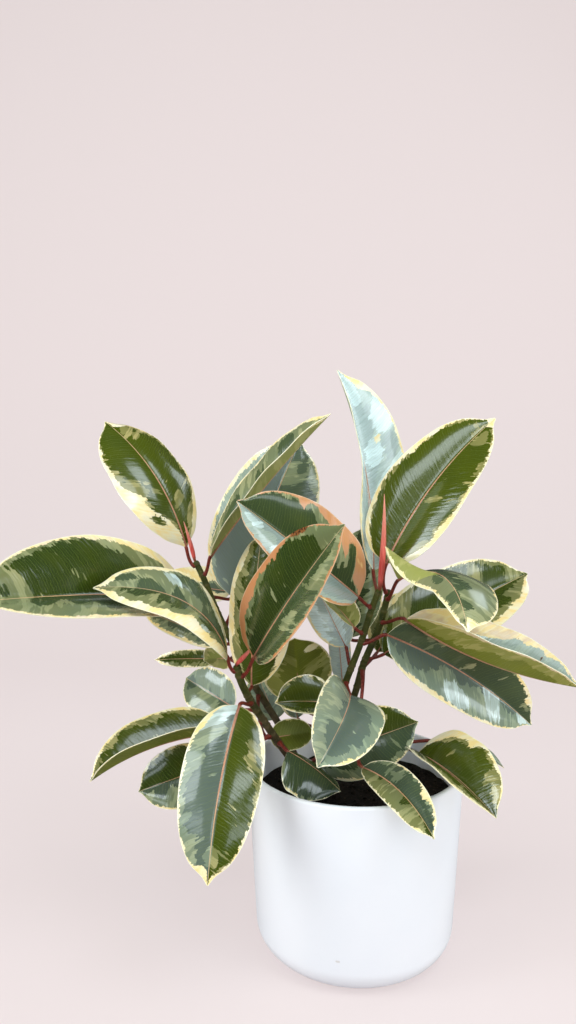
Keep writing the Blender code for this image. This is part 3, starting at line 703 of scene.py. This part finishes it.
def outline(s):
    """Half width at a share of the length, as a share of the widest."""
    at, widths = OUTLINE.T
    return np.maximum(eased(widths, np.gradient(widths, at), at, s), NARROWEST)


def unit(vectors):
    return vectors / np.linalg.norm(vectors, axis=-1, keepdims=True)


def leaf_frame(key, t):
    """(points, along, side, up) on a leaf's midrib, one row for each share t of its length."""
    _, base, tip, _, face, arch, sway, _, _ = LEAVES[key]
    base, tip, face = (np.array(v, float) for v in (base, tip, face))
    t = np.atleast_1d(t)[:, None]
    chord = tip - base
    length = np.linalg.norm(chord)
    up = unit(face - chord * (face @ chord) / length**2)
    side = np.cross(chord / length, up)
    bow = (up * arch + side * sway) * length
    points = base + chord * t + bow * (4 * t * (1 - t))
    along = unit(chord + bow * (4 - 8 * t))
    up = unit(up - along * (along @ up)[:, None])
    return points, along, np.cross(along, up), up


# %% [markdown]
# ## Building one leaf
#
# The blade starts as a flat grid with its rows along the midrib, and each vertex is moved to its place on
# the leaf. A modifier then gives it its thickness, with the under face in its own material. The petiole
# and the midrib are one tapering stalk, and the two are joined into one piece.

# %% How each half lies
SETTLED = 0.6


def half_ways(key, t):
    """(fold from flat, share of its width) along the left half of a blade, and along the right half."""
    fold = LEAVES[key][7]
    done = np.minimum(1.0, t / SETTLED)
    turned = done * done * (3 - 2 * done)
    return [
        (np.radians(inner + (outer - inner) * turned), first + (last - first) * done)
        for inner, outer, first, last in UNEVEN.get(key, ((fold, fold, 1, 1), (fold, fold, 1, 1)))
    ]


# %% Where the colours lie on a blade
FAR_OUTSIDE = -30.0
SWING_PLACES, SWINGS = np.linspace(-0.2, 1.1, 19), (0.55, 1.45)


def pair(value):
    """The left half's value and the right half's: a pair, or one value that holds for both."""
    return value if isinstance(value, tuple) and len(value) == 2 else (value, value)


def colour_fields(key, u, a, wide, on_left, length, random):
    """For each point, from its vein's start u, its share across a and its half's width: (inside the cream,
    inside the grey-green, pale, salmon) and (olive, inside rust, inside a pale patch). The pale is partly a
    painted sky sheen."""
    *reaches, pale, olive, blush = LOOKS[key]
    half = LEAVES[key][3]
    inside = []
    for reach in reaches:
        swings = [np.interp(u, SWING_PLACES, random.uniform(*SWINGS, len(SWING_PLACES))) for _ in "LR"]
        percent = [
            np.interp(u, STATIONS, np.broadcast_to(row, len(STATIONS))) * swing
            for row, swing in zip(pair(reach), swings)
        ]
        inside.append(wide * np.where(on_left, *percent) / 100 - wide * (1 - a))
    cream, grey = inside
    field = {"grey": np.maximum(grey, cream), "cream": cream}
    field["rust"] = field["pale"] = np.full_like(cream, FAR_OUTSIDE)
    for label, *span in PATCHES.get(key, ()):
        letter, colour = label.split()
        start, stop, inner, outer = (percent / 100 for percent in span)
        # A patch that starts at the midrib or ends at the margin runs on past it, and so isn't rounded there.
        inner, outer = (inner if inner > 0 else -outer), (outer if outer < 1 else 2 - inner)
        along = (2 * u - start - stop) / (stop - start)
        across = (2 * a - inner - outer) / (outer - inner)
        reach = 0.5 * min((stop - start) * length, (outer - inner) * half)
        # Millimetres inside a rounded patch: most in its middle, none on its edge, less than none outside.
        within = (1 - (np.abs(along) ** 3.6 + np.abs(across) ** 1.8) ** 0.45) * reach
        within = np.where(on_left == (letter == "L"), within, FAR_OUTSIDE)
        if colour == "dark":
            for other in ("grey", "cream"):
                field[other] = np.minimum(field[other], -within)
        else:
            field[colour] = np.maximum(field[colour], within)
    pale, olive = (np.where(on_left, *pair(value)) + 0 * u for value in (pale, olive))
    look = np.stack([field["cream"], field["grey"], pale, np.full_like(u, blush)], axis=2)
    return look, np.stack([olive, field["rust"], field["pale"]], axis=2)


# %% The blade
ROWS, COLUMNS = 60, 26
BLADE_THICKNESS = 0.7
# Shares of the half's width: the round of the fold, the swell of each half, and the waves of its margin.
VALLEY, CROWN, WAVE_HEIGHT = 0.10, 0.075, 0.028
VEIN_SLANT, VEIN_BEND = 0.42, 0.004
# How far each leaf's pattern is moved on, so that no two leaves are alike.
NEXT_LEAF = 431.0


def blade(key, number):
    _, base, tip, half, _, _, _, _, widest = LEAVES[key]
    length = float(np.linalg.norm(np.array(tip, float) - np.array(base, float)))
    steps = {"x_subdivisions": COLUMNS, "y_subdivisions": ROWS}
    piece = add("rubber_leaf_" + key, bpy.ops.mesh.primitive_grid_add, size=length * MM, **steps)

    s = 0.5 - 0.5 * np.cos(np.pi * np.linspace(0, 1, ROWS + 1))
    w = np.linspace(-1, 1, COLUMNS + 1)
    t = s**widest
    points, _, side, up = leaf_frame(key, t)
    (left_fold, left_share), (right_fold, right_share) = half_ways(key, t)
    on_left = (w < 0)[None, :]
    folded = np.where(on_left, left_fold[:, None], right_fold[:, None])
    wide = half * outline(s)[:, None] * np.where(on_left, left_share[:, None], right_share[:, None])
    a = np.abs(w)[None, :]
    valley = (np.sqrt(a**2 + VALLEY**2) - VALLEY) / (np.sqrt(1 + VALLEY**2) - VALLEY)
    out = wide * np.cos(folded) * w[None, :]
    rise = wide * np.sin(folded) * valley

    # Each half is a little crowned, and its margin waves.
    random = np.random.default_rng(100 + number)
    rise = rise + CROWN * wide * np.sin(np.pi * a)
    waves, turn, turn_too = random.uniform(1.6, 3.0), random.uniform(0, 6.28), random.uniform(0, 6.28)
    wave = np.sin(FULL_TURN * waves * s[:, None] + np.where(w < 0, turn, turn_too)[None, :])
    rise = rise + WAVE_HEIGHT * half * wave * a**2 * np.sin(np.pi * s)[:, None]
    places = points[:, None, :] + side[:, None, :] * out[..., None] + up[:, None, :] * rise[..., None]
    places = places + up[:, None, :] * (BLADE_THICKNESS / 2)
    mesh = piece.data
    mesh.vertices.foreach_set("co", (places * MM).ravel())

    # The side vein of a point starts further back on the midrib than the point lies.
    across = wide * w[None, :]
    foot = length * t[:, None] - VEIN_SLANT * np.abs(across) - VEIN_BEND * across**2
    look, tone = colour_fields(key, foot / length, a, wide, on_left, length, random)
    grain = np.stack([foot + NEXT_LEAF * number, across, wide * (1 - a)], axis=2)
    for title, kind, entry, values in (
        ("grain", "FLOAT_VECTOR", "vector", grain),
        ("look", "FLOAT_COLOR", "color", look),
        ("tone", "FLOAT_VECTOR", "vector", tone),
    ):
        mesh.attributes.new(title, kind, "POINT").data.foreach_set(entry, values.ravel())
    mesh.update()
    mesh.materials.append(UPPER)
    mesh.materials.append(UNDER)
    if key in TURNED_OVER:
        over = (w[:-1] >= 0)[None, :] & (t[1:] < TURNED_OVER[key])[:, None]
        mesh.polygons.foreach_set("material_index", over.ravel().astype(np.int32))
    shell = piece.modifiers.new("thickness", "SOLIDIFY")
    shell.thickness = BLADE_THICKNESS * MM
    shell.offset = -1.0
    shell.material_offset = 1
    apply_modifiers(piece)
    smooth(piece, 60)
    return piece, length


# %% The petiole and midrib
GAP, ROOTED = 0.3, 2.5
PETIOLE_RADIUS = 2.2
# How far the petiole runs on in its first and last direction, as shares of its reach.
LEAVES_BY, ARRIVES_BY = 0.3, 0.25
MIDRIB_END, THINNEST = 0.985, 0.28
BOLD_MIDRIBS = {"b4": 1.35, "d1": 1.15, "a4": 1.1}


def petiole(key, length):
    node, stem_way, radius = stem_at(key[0], LEAVES[key][0])
    base = np.array(LEAVES[key][1], float)
    _, along, _, _ = leaf_frame(key, 0.0)
    out = base - node
    out = unit(out - stem_way * (out @ stem_way))
    foot = node + out * (radius + GAP)
    reach = np.linalg.norm(base - foot)
    way_out = unit(out + unit(base - foot) * 1.3)
    bends = (foot, foot + way_out * (LEAVES_BY * reach), base - along[0] * (ARRIVES_BY * reach), base)
    t = np.linspace(0, 1, 11)[:-1]
    weights = np.stack([(1 - t) ** 3, 3 * (1 - t) ** 2 * t, 3 * (1 - t) * t**2, t**3], axis=1)
    radii = PETIOLE_RADIUS * (1.0 + 0.45 * np.maximum(0.0, 1 - t / 0.12) - 0.10 * np.sin(np.pi * t))

    # Its foot starts inside the stem, and its far end runs on as the midrib, half sunk in the blade.
    m = np.linspace(0.0, MIDRIB_END, 30)
    points, _, _, up = leaf_frame(key, m)
    size = np.clip(length / 200, 0.45, 1.0)
    thin = size * (1.75 - 1.45 * m) * (1 - 0.1 * m) * BOLD_MIDRIBS.get(key, 1.0)
    thin[0] = 0.5 * (thin[0] + PETIOLE_RADIUS)
    sunk = np.minimum(0.50 * thin, thin - 0.12)
    points = points + up * (BLADE_THICKNESS / 2 - sunk)[:, None]
    path = np.vstack([foot - out * ROOTED, weights @ np.array(bends), points])
    radii = np.r_[PETIOLE_RADIUS * 1.5, radii, np.maximum(thin, THINNEST)]
    return stalk("petiole_" + key, path, radii, STALK, np.r_[-1.0, t - 1.0, m])


# %% All the leaves
ALLOWED = 6 * MM
triangles = 0
for number, key in enumerate(LEAVES):
    leaf, length = blade(key, number)
    stem = petiole(key, length)
    pick(leaf, stem)
    bpy.ops.object.join()
    hand_over(leaf, "leaf_" + key)
    leaf.data.calc_loop_triangles()
    triangles += len(leaf.data.loop_triangles)
    low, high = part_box("leaf_" + key)
    corners = np.array([v.co for v in leaf.data.vertices])
    far = max(np.abs(corners.min(0) - np.array(low)).max(), np.abs(corners.max(0) - np.array(high)).max())
    if far > ALLOWED:
        print("leaf", key, "departs from its solid's box by", round(far / MM, 1), "mm")
print("triangles in leaves:", triangles)

# %% [markdown]
# ## Stems in their bark
#
# Each ring is a short swelling. Rings sit at every leaf and a few between, where older leaves have dropped.

# %% The stems
LOWEST_RING, RING_SPACING, RING_WIDTH, RING_HEIGHT = 200, 31, 1.1, 0.55
for number, key in enumerate(STEMS):
    low, high, _ = STEMS[key]
    line = stem_line(key)
    path, at = through(line[1:], 220)
    path = np.vstack([np.linspace(line[0], line[1], 8)[:-1], path])
    at = np.r_[np.linspace(-SOCKET_DEPTH, 0, 8)[:-1], at]
    share = (path[:, 2] - path[0, 2]) / (path[-1, 2] - path[0, 2])
    random = np.random.default_rng(40 + number)
    nodes = [row[0] for name, row in LEAVES.items() if name[0] == key]
    bare = np.arange(LOWEST_RING, path[-1, 2] - 8, RING_SPACING)
    nodes += list(bare + random.uniform(-4, 4, len(bare)))
    ring = np.zeros(len(path))
    for height in nodes:
        centre = at[np.argmin(np.abs(path[:, 2] - height))]
        ring = np.maximum(ring, np.exp(-(((at - centre) / RING_WIDTH) ** 2)))
    radii = low + (high - low) * share + RING_HEIGHT * ring
    radii[-1] *= 0.6
    piece = stalk("rubber_stem_" + key, path, radii, BARK, share, ring, 6)
    hand_over(piece, "stem_" + key)
    print("stem", key, "rings:", len(nodes))

# %% [markdown]
# ## Sheaths on the growing tips

# %% The sheaths
SHEATH_START, SHEATH_ROOT, SHEATH_BOW = 1.9, 2.5, 0.015
# Each sheath's length, radius and direction.
SHEATHS = {
    "a": (48, 2.6, (-0.26, -0.04, 0.96)),
    "b": (33, 2.6, (0.64, -0.18, 0.74)),
    "c": (108, 3.6, (0.03, -0.06, 1.0)),
}
SHEATH_SHAPE = np.array([
    (0.0, 0.62), (0.06, 0.80), (0.20, 1.0), (0.42, 0.92), (0.68, 0.62), (0.88, 0.30), (1.0, 0.06),
])
for key, (length, wide, way) in SHEATHS.items():
    line = stem_line(key)
    way = unit(np.array(way, float))
    stem_way = unit(line[-1] - line[-2])
    start = line[-1] + stem_way * SHEATH_START
    t = np.linspace(0, 1, 40)
    bow = np.cross(way, (0.0, -1.0, 0.0)) * SHEATH_BOW * length
    path = start + way * (length * t)[:, None] + bow * (4 * t * (1 - t))[:, None]
    path = np.vstack([start - stem_way * SHEATH_ROOT, path])
    radii = np.r_[wide * 0.6, wide * np.interp(t, *SHEATH_SHAPE.T)]
    piece = stalk("red_sheath_" + key, path, radii, SHEATH, np.r_[0.0, t], None, 4)
    hand_over(piece, "sheath_" + key)
    print("sheath", key, length, "mm")

# %% [markdown]
# ## The pot
#
# The pot is cast, so it is modelled as it would be turned: a cylinder that is a little narrower at the foot,
# a wide round on its bottom edge, an inset in its top face that goes down as the inside, and rounds on the
# lip and on the inner floor.

# %% Turn the pot
POT_HEIGHT, RIM_RADIUS, FOOT_RADIUS = 0.214, 0.125, 0.1135
WALL, FLOOR = 0.007, 0.010
FOOT_ROUND, INNER_ROUND, LIP_ROUND = 0.030, 0.022, 0.0033
NEAR = 1e-4


def add_cylinder(name, sides, radius, low, high):
    span = {"depth": high - low, "location": (0, 0, (low + high) / 2)}
    piece = add(name, bpy.ops.mesh.primitive_cylinder_add, vertices=sides, radius=radius, **span)
    bpy.ops.object.transform_apply(location=True)
    return piece


def select_edges(piece, height):
    """In edit mode, selects the edges that lie at a height."""
    bpy.ops.mesh.select_all(action="DESELECT")
    bpy.ops.object.mode_set(mode="OBJECT")
    for edge in piece.data.edges:
        edge.select = all(abs(piece.data.vertices[i].co.z - height) < NEAR for i in edge.vertices)
    bpy.ops.object.mode_set(mode="EDIT")
    bpy.ops.mesh.select_mode(type="EDGE")


pot = add_cylinder("white_pot", 160, FOOT_RADIUS, 0, POT_HEIGHT)
for vertex in pot.data.vertices:
    if vertex.co.z > POT_HEIGHT / 2:
        vertex.co.x *= RIM_RADIUS / FOOT_RADIUS
        vertex.co.y *= RIM_RADIUS / FOOT_RADIUS
pick_top_faces(pot)
bpy.ops.mesh.inset(thickness=WALL)
bpy.ops.mesh.extrude_region_move(TRANSFORM_OT_translate={"value": (0, 0, FLOOR - POT_HEIGHT)})
inner = (FOOT_RADIUS - WALL) / (RIM_RADIUS - WALL)
bpy.ops.transform.resize(value=(inner, inner, 1), center_override=(0, 0, FLOOR))
for height, width, segments in ((0, FOOT_ROUND, 12), (FLOOR, INNER_ROUND, 8), (POT_HEIGHT, LIP_ROUND, 5)):
    select_edges(pot, height)
    bpy.ops.mesh.bevel(offset=width, segments=segments, affect="EDGES")
bpy.ops.object.mode_set(mode="OBJECT")
smooth(pot, 30)
print("pot:", len(pot.data.polygons), "faces, height", round(max(v.co.z for v in pot.data.vertices), 4))


# %% Its satin glaze
def glaze_finish():
    f = Finish("satin_white_glaze", 0.42)
    drift = f.cloud(f.place(), 9.0, 3.0)
    surface = f.mix(drift.above(0.5, 0.6), (0.815, 0.865, 0.930), (0.865, 0.900, 0.950))
    x, y, z = f.split(f.place())
    # A flake of glaze has come off low on the front.
    chip = ((x + 0.026) * 300.0).math("POWER", 2.0) + ((z - 0.043) * 620.0).math("POWER", 2.0)
    chip = chip + f.cloud(f.place(), 700.0, 2.0) * 0.9
    chipped = chip.below(1.0, 0.25) * y.below(0.0, 0.01)
    f.colour(f.mix(chipped * 0.6, surface, (0.62, 0.60, 0.58)))
    f.bump(f.cloud(f.place(), 260.0, 3.0) + chipped * -3.0, 0.00012, 0.5)
    return f.material


pot.data.materials.append(glaze_finish())
hand_over(pot, "pot")

# %% [markdown]
# ## The soil
#
# Damp potting mix, almost black, with crumbs and scraps of bark. Its body fills the pot. A flat top would
# look poured, so the top is inset ring by ring, and each vertex is lifted by a noise of two sizes.


# %% Soil and crumbs
def soil_finish():
    f = Finish("potting_mix", 0.95, 0.2)
    clod = f.cloud(f.place(), 240.0, 6.0, 0.65)
    dark = f.mix(clod.above(0.5, 0.3), (0.004, 0.0035, 0.003), (0.018, 0.013, 0.009))
    scrap = f.cloud(f.place(), 430.0, 2.0).above(0.68, 0.04)
    f.colour(f.mix(scrap, dark, (0.110, 0.075, 0.045)))
    f.bump(clod, 0.003, 1.0)
    return f.material


SOIL_RADIUS, SOIL_DEPTH, SOIL_EDGE = 0.1145, 0.060, 0.1765
CROWN_HEIGHT = 0.0035
INSETS, INSET_WIDTH = 26, 0.0042
# Each noise's height, how many lumps it has in a metre, and its seed.
LUMPS = ((0.0016, 60, 4), (0.0009, 190, 9))
CRUMBS, CRUMBS_REACH = 230, 0.110
SMALLEST_CRUMB, CRUMB_SPREAD = 0.0010, 0.0026


def crown_at(reach):
    """How far the soil's top stands over its edge, at a distance from the middle."""
    return CROWN_HEIGHT * (1 - (reach / SOIL_RADIUS) ** 2)


soil = add_cylinder("potting_soil", 96, SOIL_RADIUS, SOIL_EDGE - SOIL_DEPTH, SOIL_EDGE)
pick_top_faces(soil)
for _ in range(INSETS):
    bpy.ops.mesh.inset(thickness=INSET_WIDTH)
bpy.ops.object.mode_set(mode="OBJECT")
for vertex in soil.data.vertices:
    if vertex.co.z > SOIL_EDGE - NEAR:
        x, y, _ = vertex.co
        lumps = sum(size * noise.noise(Vector((x * many, y * many, seed))) for size, many, seed in LUMPS)
        vertex.co.z += crown_at(vertex.co.xy.length) + lumps
random = np.random.default_rng(7)
crumbs = []
for _ in range(CRUMBS):
    turn, reach = random.uniform(0, FULL_TURN), CRUMBS_REACH * np.sqrt(random.uniform(0, 1))
    size = SMALLEST_CRUMB + CRUMB_SPREAD * random.uniform(0, 1) ** 2
    crumb = add("crumb", bpy.ops.mesh.primitive_ico_sphere_add, subdivisions=1, radius=size)
    stretch = random.uniform(0.5, 1.6, 3)
    for vertex in crumb.data.vertices:
        vertex.co = Vector(tuple(c * k for c, k in zip(vertex.co, stretch)))
    crumb.location = (reach * np.cos(turn), reach * np.sin(turn), SOIL_EDGE + 0.0002 + crown_at(reach))
    crumb.rotation_euler = random.uniform(0, 6.28, 3)
    crumbs.append(crumb)
pick(soil, *crumbs)
bpy.ops.object.join()
bpy.ops.object.transform_apply(location=True, rotation=True, scale=True)
soil.data.materials.clear()
soil.data.materials.append(soil_finish())
smooth(soil, 50)
hand_over(soil, "soil")
print("soil:", len(soil.data.polygons), "faces")

# %% [markdown]
# ## The stage
#
# The plant stands on a pale floor that curves up into a backdrop. Six windows of cool daylight stand around
# it, because leaves this glossy mirror each window as a broad sheen. Three large warm fills soften the
# shadows. Neither the fills nor the floor show in the leaves, or their greens would look milky.

# %% Floor and backdrop
floor = add("studio_floor", bpy.ops.mesh.primitive_plane_add, size=1)
FRONT, BACK, BEND, TOP, HALF_WIDTH = -3.0, 1.2, 0.9, 5.0, 4.0
profile = [(FRONT, 0.0), (BACK, 0.0)]
profile += [(BACK + BEND * np.sin(a), BEND - BEND * np.cos(a)) for a in np.linspace(0.1, np.pi / 2, 14)]
profile += [(BACK + BEND, TOP)]
corners = [(x, y, z) for y, z in profile for x in (-HALF_WIDTH, HALF_WIDTH)]
faces = [(2 * i, 2 * i + 1, 2 * i + 3, 2 * i + 2) for i in range(len(profile) - 1)]
floor.data.clear_geometry()
floor.data.from_pydata(corners, [], faces)
backdrop = Finish("studio_paper", 0.9, 0.1)
backdrop.colour((0.30, 0.269, 0.269))
backdrop.set(backdrop.shader, {"Emission Color": (0.815, 0.730, 0.730), "Emission Strength": 0.62})
floor.data.materials.append(backdrop.material)
smooth(floor, 40)
floor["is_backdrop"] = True
floor.visible_glossy = False


# %% Lights and sky
def window(name, around, up, away, width, height, power, colour):
    """A window seen from the plant this many degrees around to the right of the camera, this many degrees up
    and this far away, in metres. It faces the plant."""
    light = bpy.data.lights.new(name, "AREA")
    light.shape = "RECTANGLE"
    light.size, light.size_y = width, height
    light.energy = power
    light.color = colour
    lamp = link(name, light)
    turn, lift = np.radians(around), np.radians(up)
    way = Vector((np.sin(turn) * np.cos(lift), -np.cos(turn) * np.cos(lift), np.sin(lift)))
    lamp.location = Vector((0, 0, 0.5)) + away * way
    lamp.rotation_euler = (-way).to_track_quat("-Z", "Y").to_euler()
    return lamp


DAYLIGHT, WARM_LIGHT = (0.84, 0.94, 1.0), (1.0, 0.97, 0.91)
WINDOW_AWAY, FILL_AWAY, FILL_SIZE = 2.4, 3.2, 2.0
# Name, degrees around and up, width and height in metres, and power in watts.
for title, around, up, width, height, power in (
    ("window_front", -8, 36, 1.4, 0.6, 11),
    ("window_front_low", 8, 15, 1.9, 0.42, 6),
    ("window_right_front", 45, 52, 0.9, 1.1, 14),
    ("window_right_low", 58, 12, 0.8, 0.6, 6),
    ("window_right_behind", 120, 38, 0.8, 0.85, 6),
    ("window_left", -74, 31, 0.85, 1.1, 17),
):
    window(title, around, up, WINDOW_AWAY, width, height, power, DAYLIGHT)
FILLS = (("fill_left", -65, 14, 54), ("fill_right", 65, 14, 54), ("fill_above", 0, 70, 38))
for title, around, up, power in FILLS:
    fill = window(title, around, up, FILL_AWAY, FILL_SIZE, FILL_SIZE, power, WARM_LIGHT)
    fill.visible_glossy = False
sky = bpy.data.worlds.new("pale_sky")
sky.use_nodes = True
background = sky.node_tree.nodes["Background"]
background.inputs["Color"].default_value = (0.92, 0.92, 0.95, 1)
background.inputs["Strength"].default_value = 0.05
bpy.context.scene.world = sky
bpy.context.scene.view_settings.view_transform = "Standard"

# %% [markdown]
# ## The camera
#
# It stands a little left of the pot and above it, and looks slightly down.

# %% Camera
TILT = 4.4
view = bpy.data.cameras.new("camera")
view.sensor_width = 36.0
view.lens = 27.7
view.clip_end = 50
camera = link("camera", view)
camera.location = (-0.078, -0.898, 0.575)
camera.rotation_euler = (np.radians(90 - TILT), 0, 0)
bpy.context.scene.camera = camera

# %% [markdown]
# ## The size
#
# The boxes of the solids and of the dressed plant are printed side by side.

# %% Finish
dressed_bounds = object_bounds()
for name, b in (("solids", solid_bounds), ("dressed", dressed_bounds)):
    print(name, [round(1000 * c, 1) for corner in b for c in corner])
